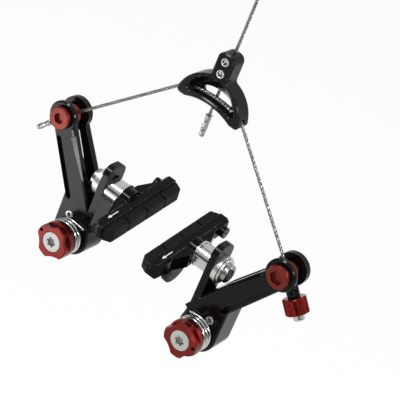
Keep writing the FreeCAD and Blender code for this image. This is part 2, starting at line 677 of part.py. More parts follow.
def dome(plate_low, plate_high, bulge_side):
    """A washer with a spherical cap on one side, which sits in a cup's hollow."""
    base = plate_high if bulge_side > 0 else plate_low
    centre = base - bulge_side * (SEAT_SPHERE_R - cap_drop)
    reach = base + bulge_side * cap_drop
    low = min(base, reach)
    high = max(base, reach)
    cap = rod_x(SEAT_R, low, high, POST_Y, POST_Z).common(ball(SEAT_SPHERE_R, centre))
    cap = cap.cut(rod_x(washer_hole_r, low, high, POST_Y, POST_Z))
    return centre, cap


def inner_washers():
    centre, cap = dome(boss_x, boss_x + DOME_RIM_T, 1)
    domed = washer(DOME_RIM_R, boss_x, boss_x + DOME_RIM_T).fuse(cap).removeSplitter()
    cupped = washer(WASHER_R, inner_cup_x, inner_cup_end).cut(ball(SEAT_SPHERE_R + RUN_CLEAR, centre))
    return domed, cupped


def outer_washers():
    low = outer_cup_end + FACE_CLEAR
    centre, cap = dome(low, nut_seat_x, -1)
    domed = washer(OUTER_WASHER_R - WASHER_STEP, low, nut_seat_x).fuse(cap).removeSplitter()
    cupped = washer(OUTER_WASHER_R, lug_outer_x, outer_cup_end).cut(ball(SEAT_SPHERE_R + RUN_CLEAR, centre))
    return domed, cupped


def pad_post():
    return rod_x(POST_R, boss_x - POST_DEPTH, nut_end_x - PAD_NUT_T / 2, POST_Y, POST_Z)


def pad_nut():
    nut = rod_x(PAD_NUT_R, nut_seat_x, nut_end_x, POST_Y, POST_Z)
    nut = nut.makeFillet(0.7, edges_on(nut, lambda point: abs(point.x - nut_end_x) < 1e-4))
    nut = nut.cut(rod_x(POST_R + THREAD_CLEAR, nut_seat_x, nut_end_x - PAD_NUT_T / 2, POST_Y, POST_Z))
    return nut.cut(key_socket(PAD_NUT_KEY, Vector(nut_end_x, POST_Y, POST_Z), -ALONG_X, PAD_NUT_T))


# Straddle cable: arcs over the hanger's saddle and its ends, then a run to each anchor.
leave_point = Vector(leave_x, straddle_y, leave_z)
run_start = leave_point + cable_dir * SPLICE_GAP


def swept_cable(name, path, start, direction):
    cable = path.makePipeShell([Part.Wire(Part.makeCircle(CABLE_R, start, direction))], True, True)
    print("%s volume %.2f of %.2f" % (name, cable.Volume, math.pi * CABLE_R ** 2 * path.Length))
    return cable


def saddle_cable():
    shoulder = Vector(SADDLE_HALF, straddle_y, saddle_z + SADDLE_R * math.cos(saddle_turn))
    middle_angle = (leave_angle + math.pi / 2 - saddle_turn) / 2
    middle = Vector(end_x + SADDLE_END_R * math.cos(middle_angle), straddle_y,
                    end_z + SADDLE_END_R * math.sin(middle_angle))
    right = [shoulder, middle, leave_point]
    left = [Vector(-point.x, point.y, point.z) for point in right]
    crown = Vector(0, straddle_y, SADDLE_TOP)
    path = Part.Wire([Part.Arc(left[2], left[1], left[0]).toShape(),
                      Part.Arc(left[0], crown, right[0]).toShape(),
                      Part.Arc(right[0], right[1], right[2]).toShape()])
    print("saddle cable radii %.1f %.1f" % (SADDLE_R, SADDLE_END_R))
    return swept_cable("saddle cable", path, left[2], Vector(cable_dir.x, 0, -cable_dir.z))


def straddle_run(tail):
    reach = TAIL_BEND_R * math.tan(math.radians(TAIL_BEND / 2))
    bend_start = anchor_centre - cable_dir * reach
    bend_end = anchor_centre + tail_dir * reach
    centre = bend_start + Vector(cable_dir.z, 0, -cable_dir.x) * TAIL_BEND_R
    bend = centre + (anchor_centre - centre).normalize() * TAIL_BEND_R
    end = anchor_centre + tail_dir * tail
    path = Part.Wire([Part.LineSegment(run_start, bend_start).toShape(),
                      Part.Arc(bend_start, bend, bend_end).toShape(),
                      Part.LineSegment(bend_end, end).toShape()])
    print("straddle run bend radius %.1f, length %.1f" % (TAIL_BEND_R, path.Length))
    return swept_cable("straddle run", path, run_start, cable_dir)


def crimp(start, direction, length):
    tube = rod(CRIMP_R, start, direction, length)
    lip = rod(CRIMP_R + CRIMP_LIP / 2, start, direction, CRIMP_LIP)
    inner = rod(CABLE_R + THREAD_CLEAR, start, direction, length - CRIMP_LIP)
    return tube.fuse(lip).cut(inner)


# Hanger's window: an arc over the saddle with rounded corners, wide at the front and lower
# towards the rear.
floor_r = SADDLE_R - CABLE_R - SADDLE_CLEAR


def window_wire(top_r, crown, y, widened=0.0):
    top = Vector(0, y, crown - top_r)
    floor = Vector(0, y, saddle_z)
    inner = top_r - WINDOW_ROUND
    outer = floor_r + WINDOW_ROUND
    corner_r = WINDOW_ROUND + widened
    corner_z = (outer ** 2 - inner ** 2 + top.z ** 2 - floor.z ** 2) / (2 * (top.z - floor.z))
    corner = Vector(math.sqrt(inner ** 2 - (corner_z - top.z) ** 2), y, corner_z)
    up = (corner - top).normalize()
    down = (floor - corner).normalize()
    start = corner + up * corner_r
    middle = corner + (up + down).normalize() * corner_r
    end = corner + down * corner_r
    left = [Vector(-point.x, y, point.z) for point in (start, middle, end)]
    return Part.Wire([Part.Arc(left[0], Vector(0, y, crown + widened), start).toShape(),
                      Part.Arc(start, middle, end).toShape(),
                      Part.Arc(end, Vector(0, y, saddle_z + floor_r - widened), left[2]).toShape(),
                      Part.Arc(left[2], left[1], left[0]).toShape()])


def window():
    flare_start = hanger_front + WINDOW_EDGE
    flare_end = hanger_front + WINDOW_FLARE
    edge_wire = window_wire(WINDOW_R, WINDOW_CROWN, hanger_front, WINDOW_EDGE)
    front_wire = window_wire(WINDOW_R, WINDOW_CROWN, flare_start)
    rear_wire = window_wire(WINDOW_REAR_R, WINDOW_REAR_CROWN, flare_end)
    edge = Part.makeLoft([edge_wire, front_wire], True, True)
    flare = Part.makeLoft([front_wire, rear_wire], True, True)
    return edge.fuse([flare, Part.Face(rear_wire).extrude(Vector(0, hanger_rear - flare_end, 0))])


# Hanger: an arched yoke with its window, a channel for the straddle cable and a bored stem.
def hanger():
    ring_z = HANGER_CROWN - HANGER_R
    arch_z = HANGER_ARCH_TOP - HANGER_ARCH_R
    yoke = rod_y(HANGER_R, 0, ring_z, hanger_front, hanger_rear)
    yoke = yoke.common(block(-HANGER_R, HANGER_R, hanger_front, hanger_rear, HANGER_TIP, HANGER_CROWN))
    yoke = yoke.cut(rod_y(HANGER_ARCH_R, 0, arch_z, hanger_front, hanger_rear))
    stem_foot = ring_z + math.sqrt(HANGER_R ** 2 - STEM_HALF ** 2)
    stem = block(-STEM_HALF, STEM_HALF, hanger_front, hanger_rear, stem_foot - STEM_HALF, STEM_TOP)
    stem = stem.makeFillet(STEM_ROUND, edges_on(stem, upright_at(STEM_HALF, STEM_TOP)))
    yoke = yoke.fuse(stem).removeSplitter()
    yoke = yoke.makeFillet(STEM_FOOT_ROUND, edges_on(yoke, upright_at(STEM_HALF, stem_foot)))
    tip_outer = math.sqrt(HANGER_R ** 2 - (HANGER_TIP - ring_z) ** 2)
    tip_inner = math.sqrt(HANGER_ARCH_R ** 2 - (HANGER_TIP - arch_z) ** 2)
    tips = edges_on(yoke, upright_at(tip_outer, HANGER_TIP))
    tips += edges_on(yoke, upright_at(tip_inner, HANGER_TIP))
    yoke = yoke.makeFillet(TIP_ROUND, tips)
    yoke = yoke.makeChamfer(HANGER_EDGE, edges_on(yoke, at_depth(hanger_front)))
    yoke = yoke.cut(window())
    side = CABLE_R + CHANNEL_SIDE
    channel = rod_y(floor_r + CHANNEL_RISE, 0, saddle_z, straddle_y - side, straddle_y + side)
    channel = channel.cut(rod_y(floor_r, 0, saddle_z, straddle_y - side, straddle_y + side))
    yoke = yoke.cut(channel.common(block(-HANGER_R, HANGER_R, hanger_front, hanger_rear,
                                         HANGER_TIP, HANGER_CROWN)))
    lift = Vector(-cable_dir.z, 0, cable_dir.x)
    low = leave_point - lift * (CABLE_R + EXIT_DROP) - Vector(0, side, 0)
    exit_cut = prism([low, low + cable_dir * HANGER_R, low + cable_dir * HANGER_R + lift * CHANNEL_RISE,
                      low + lift * CHANNEL_RISE], Vector(0, 2 * side, 0))
    yoke = yoke.cut(exit_cut).cut(mirrored(exit_cut))
    yoke = yoke.cut(rod_z(CABLE_R + HOLE_CLEAR, 0, main_y, HANGER_TIP, STEM_TOP))
    for place in set_screw_places():
        yoke = yoke.cut(rod_y(SET_SCREW_R + THREAD_CLEAR, 0, place, hanger_front, main_y))
    return yoke


def set_screw_places():
    return [SET_SCREW_TOP, SET_SCREW_TOP - SET_SCREW_PITCH]


def set_screws():
    screws = []
    front = hanger_front - SET_SCREW_PROUD
    for place in set_screw_places():
        screw = rod_y(SET_SCREW_R, 0, place, front, main_y - CABLE_R - PRESS_CLEAR)
        screw = screw.makeFillet(0.3, edges_on(screw, at_depth(front)))
        screws.append(screw.cut(key_socket(SET_SCREW_KEY, Vector(0, front, place), ALONG_Y, 2.0)))
    return Part.makeCompound(screws)


def main_cable():
    return rod_z(CABLE_R, 0, main_y, MAIN_END, FERRULE_START + FERRULE_ENTRY)


def housing_ferrule():
    end = FERRULE_START + FERRULE_LENGTH
    ferrule = rod_z(FERRULE_R, 0, main_y, FERRULE_START, end)
    ferrule = ferrule.makeFillet(0.5, ferrule.Edges[0:1])
    return ferrule.cut(rod_z(CABLE_R + HOLE_CLEAR, 0, main_y, FERRULE_START, end))


# Barrel adjuster: a threaded tube in the right barrel, and the fluted knob that turns on it.
def adjuster_tube():
    seat = anchor_centre + tail_dir * STEM_TUBE_SEAT
    tube = rod(STEM_TUBE_R, seat, tail_dir, STEM_TUBE_END - STEM_TUBE_SEAT)
    return tube.cut(rod(CABLE_R + HOLE_CLEAR, seat, tail_dir, STEM_TUBE_END))


def adjuster_knob():
    start = anchor_centre + tail_dir * KNOB_START
    knob = rod(KNOB_R, start, tail_dir, KNOB_LENGTH)
    knob = knob.makeFillet(0.6, [edge for edge in knob.Edges if len(edge.Vertexes) == 1])
    across = tail_dir.cross(ALONG_Y)
    for step in range(KNOB_LOBES):
        turn = 2 * math.pi * step / KNOB_LOBES
        radial = ALONG_Y * math.cos(turn) + across * math.sin(turn)
        flute = start + radial * (KNOB_R - KNOB_FLUTE_DEPTH + KNOB_FLUTE_R)
        knob = knob.cut(rod(KNOB_FLUTE_R, flute, tail_dir, KNOB_LENGTH))
    bore_depth = STEM_TUBE_END + FACE_CLEAR - KNOB_START
    knob = knob.cut(rod(STEM_TUBE_R + THREAD_CLEAR, start, tail_dir, bore_depth))
    knob = knob.cut(rod(CABLE_R + HOLE_CLEAR, start, tail_dir, KNOB_LENGTH))
    seat = start + tail_dir * (KNOB_LENGTH - NIPPLE_SEAT)
    return knob.cut(rod(NIPPLE_R + RUN_CLEAR, seat, tail_dir, NIPPLE_SEAT))


nipple_start = KNOB_START + KNOB_LENGTH - NIPPLE_SEAT + RUN_CLEAR


def cable_nipple():
    start = anchor_centre + tail_dir * nipple_start
    nipple = rod(NIPPLE_R, start, tail_dir, NIPPLE_LENGTH)
    far = start + tail_dir * NIPPLE_LENGTH
    rims = [edge for edge in nipple.Edges if len(edge.Vertexes) == 1]
    far_rim = [edge for edge in rims if (edge.CenterOfMass - far).Length < 1e-3]
    nipple = nipple.makeFillet(NIPPLE_ROUND, far_rim)
    return nipple.cut(rod(CABLE_R + THREAD_CLEAR, start, tail_dir, NIPPLE_LENGTH / 2))


save_pair("pivot_sleeve", pivot_sleeve())
save_pair("mount_bolt", mount_bolt())
save_pair("pivot_bush", pivot_bush())
save_pair("arm", arm())
save_pair("arm_screw", arm_screw())
spring = left_return_spring()
save("left_return_spring", spring)
save("right_return_spring", mirrored(spring))
save("left_spring_adjuster", spring_adjuster(-1, LEFT_LOBE_TURN))
save("right_spring_adjuster", spring_adjuster(1, RIGHT_LOBE_TURN))

save_pair("pad_holder", pad_holder())
save_pair("brake_pad", brake_pad())
save_pair("pad_screw", pad_screw())
save_pair("pad_post", pad_post())
inner_dome, inner_cup = inner_washers()
save_pair("inner_dome_washer", inner_dome)
save_pair("inner_cup_washer", inner_cup)
outer_dome, outer_cup = outer_washers()
save_pair("outer_dome_washer", outer_dome)
save_pair("outer_cup_washer", outer_cup)
save_pair("pad_nut", pad_nut())

save("left_anchor_barrel", mirrored(anchor_barrel(0)))
save("right_anchor_barrel", anchor_barrel(STEM_TUBE_R + PRESS_CLEAR))
save("left_anchor_bolt", mirrored(anchor_bolt(LEFT_KEY)))
save("right_anchor_bolt", anchor_bolt(RIGHT_KEY))

left_tail = TAIL_CRIMP_START + TAIL_CRIMP_LENGTH - 2 * CRIMP_LIP
save("left_straddle_cable", mirrored(straddle_run(left_tail)))
save("right_straddle_cable", straddle_run(nipple_start + NIPPLE_LENGTH / 2 - THREAD_CLEAR))
tail_start = anchor_centre + tail_dir * TAIL_CRIMP_START
save("left_cable_crimp", mirrored(crimp(tail_start, tail_dir, TAIL_CRIMP_LENGTH)))
save("right_adjuster_tube", adjuster_tube())
save("right_adjuster_knob", adjuster_knob())
save("right_cable_nipple", cable_nipple())

save("straddle_cable_middle", saddle_cable())
save("cable_hanger", hanger())
save("hanger_set_screws", set_screws())
save("main_cable", main_cable())
crimp_top = Vector(0, main_y, MAIN_END - CRIMP_LIP - THREAD_CLEAR + CRIMP_LENGTH)
save("main_cable_crimp", crimp(crimp_top, -ALONG_Z, CRIMP_LENGTH))
save("housing_ferrule", housing_ferrule())
print("cable leaves the saddle at x %.2f z %.2f" % (leave_x, leave_z))
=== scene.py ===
import math

import bmesh
import bpy
from mathutils import Matrix, Vector


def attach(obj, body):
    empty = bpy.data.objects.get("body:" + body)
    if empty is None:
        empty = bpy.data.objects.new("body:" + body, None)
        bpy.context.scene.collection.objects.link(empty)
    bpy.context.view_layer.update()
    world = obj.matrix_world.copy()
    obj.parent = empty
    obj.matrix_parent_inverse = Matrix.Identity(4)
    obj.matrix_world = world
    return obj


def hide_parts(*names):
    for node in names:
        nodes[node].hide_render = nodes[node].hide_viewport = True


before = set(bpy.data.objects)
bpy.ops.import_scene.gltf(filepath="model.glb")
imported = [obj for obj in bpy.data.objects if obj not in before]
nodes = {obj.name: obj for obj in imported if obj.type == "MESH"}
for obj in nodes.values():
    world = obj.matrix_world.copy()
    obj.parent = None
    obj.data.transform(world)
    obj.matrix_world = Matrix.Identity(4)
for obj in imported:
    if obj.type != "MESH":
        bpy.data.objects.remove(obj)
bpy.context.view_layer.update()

# Studio: a wide white floor well below the brake, a room that is white behind it and overhead
# and dark on the side of the camera, and soft lamps. The floor looks white to the camera and
# to polished metal, and keeps the brake's faint shadow. The camera stands to the right and above.
FLOOR_Z = -0.16
FLOOR_HALF = 20.0
FLOOR_PAINT = 0.9
FLOOR_GLOW = 0.9
ROOM_LIGHT = 0.6
ROOM_STOPS = ((0.0, 0.06), (0.22, 0.1), (0.5, 0.9), (1.0, 1.0))
BACK_WALL = (0.1, 0.5)
LAMPS = (  # name, place, target, width, watts
    ("key_lamp", (-0.36, -0.5, 0.82), (0, 0, 0.05), 0.22, 4.0),
    ("rim_lamp", (0.45, 0.4, 0.5), (0, 0, 0.05), 0.16, 2.0),
    ("left_lamp", (-0.19, -0.24, -0.115), (-0.06, 0, 0.03), 0.14, 0.23),
    ("right_lamp", (0.439, -0.427, 0.302), (-0.058, -0.0135, 0.036), 0.14, 1.7),
)
CAMERA_LENS = 151.47
CAMERA_NEAR = 0.01
CAMERA_PLACE = (0.279119, -0.604189, 0.443834)
CAMERA_RIGHT = (0.758222, 0.558078, 0.337117)
CAMERA_UP = (-0.549973, 0.269741, 0.790423)
CAMERA_BACK = (0.350184, -0.784722, 0.511452)

scene = bpy.context.scene
scene.view_settings.view_transform = "Standard"


def link(tree, source, target):
    tree.links.new(source, target)


def seen_directly(tree):
    """1 for camera, glossy and transmission rays, 0 for the rays that only carry light."""
    path = tree.nodes.new("ShaderNodeLightPath")
    first = tree.nodes.new("ShaderNodeMath")
    first.operation = "MAXIMUM"
    both = tree.nodes.new("ShaderNodeMath")
    both.operation = "MAXIMUM"
    link(tree, path.outputs["Is Camera Ray"], first.inputs[0])
    link(tree, path.outputs["Is Glossy Ray"], first.inputs[1])
    link(tree, first.outputs[0], both.inputs[0])
    link(tree, path.outputs["Is Transmission Ray"], both.inputs[1])
    return both.outputs[0]


def make_room():
    """A world that is graded by height, goes to white at the back and lights less than it shows."""
    world = bpy.data.worlds.new("studio_room")
    world.use_nodes = True
    tree = world.node_tree
    tree.nodes.clear()
    out = tree.nodes.new("ShaderNodeOutputWorld")
    back = tree.nodes.new("ShaderNodeBackground")
    way = tree.nodes.new("ShaderNodeTexCoord")
    parts = tree.nodes.new("ShaderNodeSeparateXYZ")
    shade = tree.nodes.new("ShaderNodeValToRGB")
    ramp = shade.color_ramp
    for place, value in ROOM_STOPS[1:-1]:
        ramp.elements.new(place)
    for stop, (place, value) in zip(ramp.elements, ROOM_STOPS):
        stop.color = (value, value, value, 1)
    wall = tree.nodes.new("ShaderNodeMapRange")
    wall.inputs["From Min"].default_value, wall.inputs["From Max"].default_value = BACK_WALL
    lighter = tree.nodes.new("ShaderNodeMixRGB")
    lighter.inputs["Color2"].default_value = (1, 1, 1, 1)
    level = tree.nodes.new("ShaderNodeMapRange")
    level.inputs["To Min"].default_value = ROOM_LIGHT
    link(tree, way.outputs["Generated"], parts.inputs[0])
    link(tree, parts.outputs["Z"], shade.inputs["Fac"])
    link(tree, parts.outputs["Y"], wall.inputs["Value"])
    link(tree, wall.outputs[0], lighter.inputs["Fac"])
    link(tree, shade.outputs["Color"], lighter.inputs["Color1"])
    link(tree, lighter.outputs["Color"], back.inputs["Color"])
    link(tree, seen_directly(tree), level.inputs["Value"])
    link(tree, level.outputs[0], back.inputs["Strength"])
    link(tree, back.outputs[0], out.inputs["Surface"])
    scene.world = world


def make_floor():
    bm = bmesh.new()
    bmesh.ops.create_grid(bm, x_segments=1, y_segments=1, size=FLOOR_HALF)
    bmesh.ops.translate(bm, verts=bm.verts, vec=(0, 0, FLOOR_Z))
    mesh = bpy.data.meshes.new("studio_floor")
    bm.to_mesh(mesh)
    bm.free()
    floor = bpy.data.objects.new("studio_floor", mesh)
    scene.collection.objects.link(floor)
    material = bpy.data.materials.new("white_floor")
    material.use_nodes = True
    tree = material.node_tree
    tree.nodes.clear()
    out = tree.nodes.new("ShaderNodeOutputMaterial")
    paint = tree.nodes.new("ShaderNodeBsdfDiffuse")
    paint.inputs["Color"].default_value = (FLOOR_PAINT, FLOOR_PAINT, FLOOR_PAINT, 1)
    glow = tree.nodes.new("ShaderNodeEmission")
    share = tree.nodes.new("ShaderNodeMath")
    share.operation = "MULTIPLY"
    share.inputs[1].default_value = FLOOR_GLOW
    mix = tree.nodes.new("ShaderNodeMixShader")
    link(tree, seen_directly(tree), share.inputs[0])
    link(tree, share.outputs[0], mix.inputs["Fac"])
    link(tree, paint.outputs[0], mix.inputs[1])
    link(tree, glow.outputs[0], mix.inputs[2])
    link(tree, mix.outputs[0], out.inputs["Surface"])
    mesh.materials.append(material)


def make_lamp(name, place, target, width, watts):
    lamp = bpy.data.lights.new(name, "AREA")
    lamp.shape = "DISK"
    lamp.size = width
    lamp.energy = watts
    stand = bpy.data.objects.new(name, lamp)
    aim = (Vector(target) - Vector(place)).to_track_quat("-Z", "Y")
    stand.matrix_world = Matrix.Translation(place) @ aim.to_matrix().to_4x4()
    scene.collection.objects.link(stand)


def make_camera():
    lens = bpy.data.cameras.new("photo_camera")
    lens.lens = CAMERA_LENS
    lens.clip_start = CAMERA_NEAR
    camera = bpy.data.objects.new("photo_camera", lens)
    turn = Matrix((CAMERA_RIGHT, CAMERA_UP, CAMERA_BACK)).transposed().to_4x4()
    camera.matrix_world = Matrix.Translation(CAMERA_PLACE) @ turn
    scene.collection.objects.link(camera)
    scene.camera = camera


make_room()
make_floor()
for lamp_row in LAMPS:
    make_lamp(*lamp_row)
make_camera()


# Pivot sleeves and bushes: turned steel tubes with a seat flange, slid over the fork's
# studs, and thin bronze bushes pressed into the arms. Only the rear flanges show.
GRAIN_SCALE = 9000.0
GRAIN_DETAIL = 2.0
SMUDGE_SCALE = 120.0
SMUDGE_DETAIL = 4.0
SMUDGE_RANGE = (0.3, 0.7)
EDGE_RADIUS = 0.0003
EDGE_SAMPLES = 4
EDGE_TURN = (0.97, 0.8)
PATCH_SCALE = 700.0
PATCH_DETAIL = 3.0
PATCH_RANGE = (0.42, 0.6)
RELIEF_HEIGHT = 0.00005
COAT_ROUGH = 0.2


def make_group(name, numbers, results):
    """An empty node group with a vector and numbers going in, and the results named coming out."""
    group = bpy.data.node_groups.new(name, "ShaderNodeTree")
    sockets = group.interface
    sockets.new_socket("Vector", in_out="INPUT", socket_type="NodeSocketVector")
    for title, value in numbers:
        socket = sockets.new_socket(title, in_out="INPUT", socket_type="NodeSocketFloat")
        socket.default_value = value
    for title, kind in results:
        sockets.new_socket(title, in_out="OUTPUT", socket_type=kind)
    return group, group.nodes.new("NodeGroupInput"), group.nodes.new("NodeGroupOutput")


def make_grain_group():
    """Fine grain and broad smudges, which every finish here is made with."""
    group, start, end = make_group(
        "surface_grain", (("Grain Scale", GRAIN_SCALE), ("Smudge Scale", SMUDGE_SCALE)),
        (("Grain", "NodeSocketFloat"), ("Smudge", "NodeSocketFloat")))
    for result, detail in (("Grain", GRAIN_DETAIL), ("Smudge", SMUDGE_DETAIL)):
        noise = group.nodes.new("ShaderNodeTexNoise")
        noise.inputs["Detail"].default_value = detail
        link(group, start.outputs["Vector"], noise.inputs["Vector"])
        link(group, start.outputs[result + " Scale"], noise.inputs["Scale"])
        link(group, noise.outputs["Fac"], end.inputs[result])
    return group


def make_edge_group():
    """A normal that rounds sharp edges over a small radius, and a broken mask along them which
    lightens the edges, partly for rubbing and partly as a painted highlight.
    """
    group, start, end = make_group(
        "worn_and_highlit_edges", (("Radius", EDGE_RADIUS), ("Patch Scale", PATCH_SCALE)),
        (("Wear_And_Highlight", "NodeSocketFloat"), ("Normal", "NodeSocketVector")))
    rounded = group.nodes.new("ShaderNodeBevel")
    rounded.samples = EDGE_SAMPLES
    flat = group.nodes.new("ShaderNodeNewGeometry")
    turn = group.nodes.new("ShaderNodeVectorMath")
    turn.operation = "DOT_PRODUCT"
    edge = group.nodes.new("ShaderNodeMapRange")
    edge.inputs["From Min"].default_value, edge.inputs["From Max"].default_value = EDGE_TURN
    patches = group.nodes.new("ShaderNodeTexNoise")
    patches.inputs["Detail"].default_value = PATCH_DETAIL
    broken = group.nodes.new("ShaderNodeMapRange")
    broken.inputs["From Min"].default_value, broken.inputs["From Max"].default_value = PATCH_RANGE
    wear_and_highlight = group.nodes.new("ShaderNodeMath")
    wear_and_highlight.operation = "MULTIPLY"
    link(group, start.outputs["Radius"], rounded.inputs["Radius"])
    link(group, rounded.outputs["Normal"], turn.inputs[0])
    link(group, flat.outputs["Normal"], turn.inputs[1])
    link(group, turn.outputs["Value"], edge.inputs["Value"])
    link(group, start.outputs["Vector"], patches.inputs["Vector"])
    link(group, start.outputs["Patch Scale"], patches.inputs["Scale"])
    link(group, patches.outputs["Fac"], broken.inputs["Value"])
    link(group, edge.outputs[0], wear_and_highlight.inputs[0])
    link(group, broken.outputs[0], wear_and_highlight.inputs[1])
    link(group, wear_and_highlight.outputs[0], end.inputs["Wear_And_Highlight"])
    link(group, rounded.outputs["Normal"], end.inputs["Normal"])
    return group


grain_group = make_grain_group()
edge_group = make_edge_group()


def mix_colours(tree, factor, first, second):
    """Two colours, each a plain one or a socket, mixed by a mask."""
    mix = tree.nodes.new("ShaderNodeMix")
    mix.data_type = "RGBA"
    link(tree, factor, mix.inputs["Factor"])
    for name, colour in (("A", first), ("B", second)):
        socket = [s for s in mix.inputs if s.name == name and s.type == "RGBA"][0]
        if isinstance(colour, tuple):
            socket.default_value = (*colour, 1)
        else:
            link(tree, colour, socket)
    return [s for s in mix.outputs if s.type == "RGBA"][0]


def make_finish(name, colours, rough, metallic=0.0, specular=0.5, edge_wear_and_highlight=None, edge=EDGE_RADIUS,
                grain=GRAIN_SCALE, smudge=SMUDGE_SCALE, bump=0.05, coat=0.0):
    """Two near colours and two roughnesses mixed by smudges, with fine relief and lighter edges,
    partly rubbed and partly a painted highlight.
    """
    material = bpy.data.materials.new(name)
    material.use_nodes = True
    tree = material.node_tree
    shader = tree.nodes["Principled BSDF"]
    shader.inputs["Metallic"].default_value = metallic
    shader.inputs["Specular IOR Level"].default_value = specular
    shader.inputs["Coat Weight"].default_value = coat
    shader.inputs["Coat Roughness"].default_value = COAT_ROUGH
    place = tree.nodes.new("ShaderNodeTexCoord").outputs["Object"]
    surface = tree.nodes.new("ShaderNodeGroup")
    surface.node_tree = grain_group
    surface.inputs["Grain Scale"].default_value = grain
    surface.inputs["Smudge Scale"].default_value = smudge
    link(tree, place, surface.inputs["Vector"])
    colour = mix_colours(tree, surface.outputs["Smudge"], *colours)
    sheen = tree.nodes.new("ShaderNodeMapRange")
    sheen.inputs["From Min"].default_value, sheen.inputs["From Max"].default_value = SMUDGE_RANGE
    sheen.inputs["To Min"].default_value, sheen.inputs["To Max"].default_value = rough
    link(tree, surface.outputs["Smudge"], sheen.inputs["Value"])
    link(tree, sheen.outputs[0], shader.inputs["Roughness"])
    relief = tree.nodes.new("ShaderNodeBump")
    relief.inputs["Strength"].default_value = bump
    relief.inputs["Distance"].default_value = RELIEF_HEIGHT
    link(tree, surface.outputs["Grain"], relief.inputs["Height"])
    if edge_wear_and_highlight:
        rims = tree.nodes.new("ShaderNodeGroup")
        rims.node_tree = edge_group
        rims.inputs["Radius"].default_value = edge
        link(tree, place, rims.inputs["Vector"])
        # Lighter colour along the edges: partly rubbed edges, partly a painted highlight.
        colour = mix_colours(tree, rims.outputs["Wear_And_Highlight"], colour, edge_wear_and_highlight)
        link(tree, rims.outputs["Normal"], relief.inputs["Normal"])
    link(tree, colour, shader.inputs["Base Color"])
    link(tree, relief.outputs["Normal"], shader.inputs["Normal"])
    return material


def dress(material, *names):
    """Gives CAD nodes a finish in place of their plain packed colour."""
    for name in names:
        mesh = nodes[name].data
        mesh.materials.clear()
        mesh.materials.append(material)


def dress_pair(material, *names):
    dress(material, *[side + name for side in ("left_", "right_") for name in names])


turned_steel = make_finish(
    "turned_steel", ((0.36, 0.36, 0.36), (0.48, 0.48, 0.47)), (0.18, 0.3),
    metallic=1.0, edge_wear_and_highlight=(0.8, 0.8, 0.8))
bush_bronze = make_finish(
    "bush_bronze", ((0.45, 0.3, 0.14), (0.55, 0.38, 0.18)), (0.3, 0.45), metallic=1.0)
dress_pair(turned_steel, "pivot_sleeve")
dress_pair(bush_bronze, "pivot_bush")


# Arms: forged aluminium, blasted and anodised to a satin black that reads dark grey where
# it faces the light. The grooves, bores and tines are machined in the same piece, and a
# small steel set screw stands in each front face beside the spring.
# The arms' lighter edge colour is a painted highlight along the edges, partly also rubbed bare.
arm_black = make_finish(
    "arm_black_anodised", ((0.002, 0.002, 0.0022), (0.004, 0.004, 0.0043)), (0.13, 0.19),
    specular=0.13, edge_wear_and_highlight=(0.1, 0.1, 0.1), grain=5000.0, bump=0.06)
bolt_steel = make_finish(
    "satin_bolt_steel", ((0.46, 0.46, 0.44), (0.56, 0.56, 0.54)), (0.3, 0.42),
    metallic=1.0, edge_wear_and_highlight=(0.85, 0.85, 0.84))
dress_pair(arm_black, "arm")
dress_pair(bolt_steel, "arm_screw")


# Return springs: bright drawn wire, wound as a torsion coil round the pivot. One leg is
# hooked into the arm and the other end is held in the adjuster.
spring_wire = make_finish(
    "bright_spring_wire", ((0.46, 0.46, 0.45), (0.58, 0.58, 0.57)), (0.08, 0.16), metallic=1.0)
dress_pair(spring_wire, "return_spring")


# Spring adjusters: turned aluminium nuts with four lobes and a round rim, anodised red under
# a clear skin. Each is turned to wind its spring, and is held by the mounting bolt's head.
# The lighter red along the nuts' edges is a painted highlight on their rims.
red_anodised = make_finish(
    "red_anodised", ((0.13, 0.008, 0.005), (0.18, 0.012, 0.008)), (0.36, 0.46),
    metallic=1.0, edge_wear_and_highlight=(0.34, 0.06, 0.04), grain=7000.0, bump=0.1, coat=0.2)
dress_pair(red_anodised, "spring_adjuster")


# Mounting bolts: steel with a plain blasted head that lies flush in the adjuster, driven by a
# six-lobed socket.
blasted_steel = make_finish(
    "blasted_steel", ((0.4, 0.4, 0.385), (0.48, 0.48, 0.465)), (0.5, 0.6),
    metallic=1.0, edge_wear_and_highlight=(0.85, 0.85, 0.84))
dress_pair(blasted_steel, "mount_bolt")


# Cable anchors: polished red barrels that turn in the tines, and the matt red clamp bolts
# on their front ends with hexagonal sockets.
# The lighter reds along the barrels', bolts' and knob's edges are painted highlights.
red_polished = make_finish(
    "red_polished", ((0.17, 0.006, 0.004), (0.24, 0.011, 0.007)), (0.08, 0.16),
    metallic=1.0, edge_wear_and_highlight=(0.5, 0.12, 0.09), coat=0.15)
red_matt = make_finish(
    "red_matt", ((0.12, 0.013, 0.009), (0.17, 0.02, 0.014)), (0.36, 0.5),
    metallic=1.0, edge_wear_and_highlight=(0.36, 0.08, 0.055), grain=6000.0, bump=0.15, coat=0.2)
dress_pair(red_polished, "anchor_barrel")
dress_pair(red_matt, "anchor_bolt")


# Pad holders: die-cast channels in satin black that carry the rubber, with a stop at the
# front and a boss for the post. A plain arrow printed in white on the top points forwards.
POST_Y = -7.5
POST_Z = 31.6
PAD_TILT = 9.5
ARROW_Z = 34.83
ARROW_X = 16.5
ARROW_TIP_Y = -28.4
ARROW_LENGTH = 7.5
ARROW_HALF = 0.22
ARROW_HEAD = 2.3
ARROW_HEAD_HALF = 0.85
ARROW_THICK = 0.06
MM = 0.001

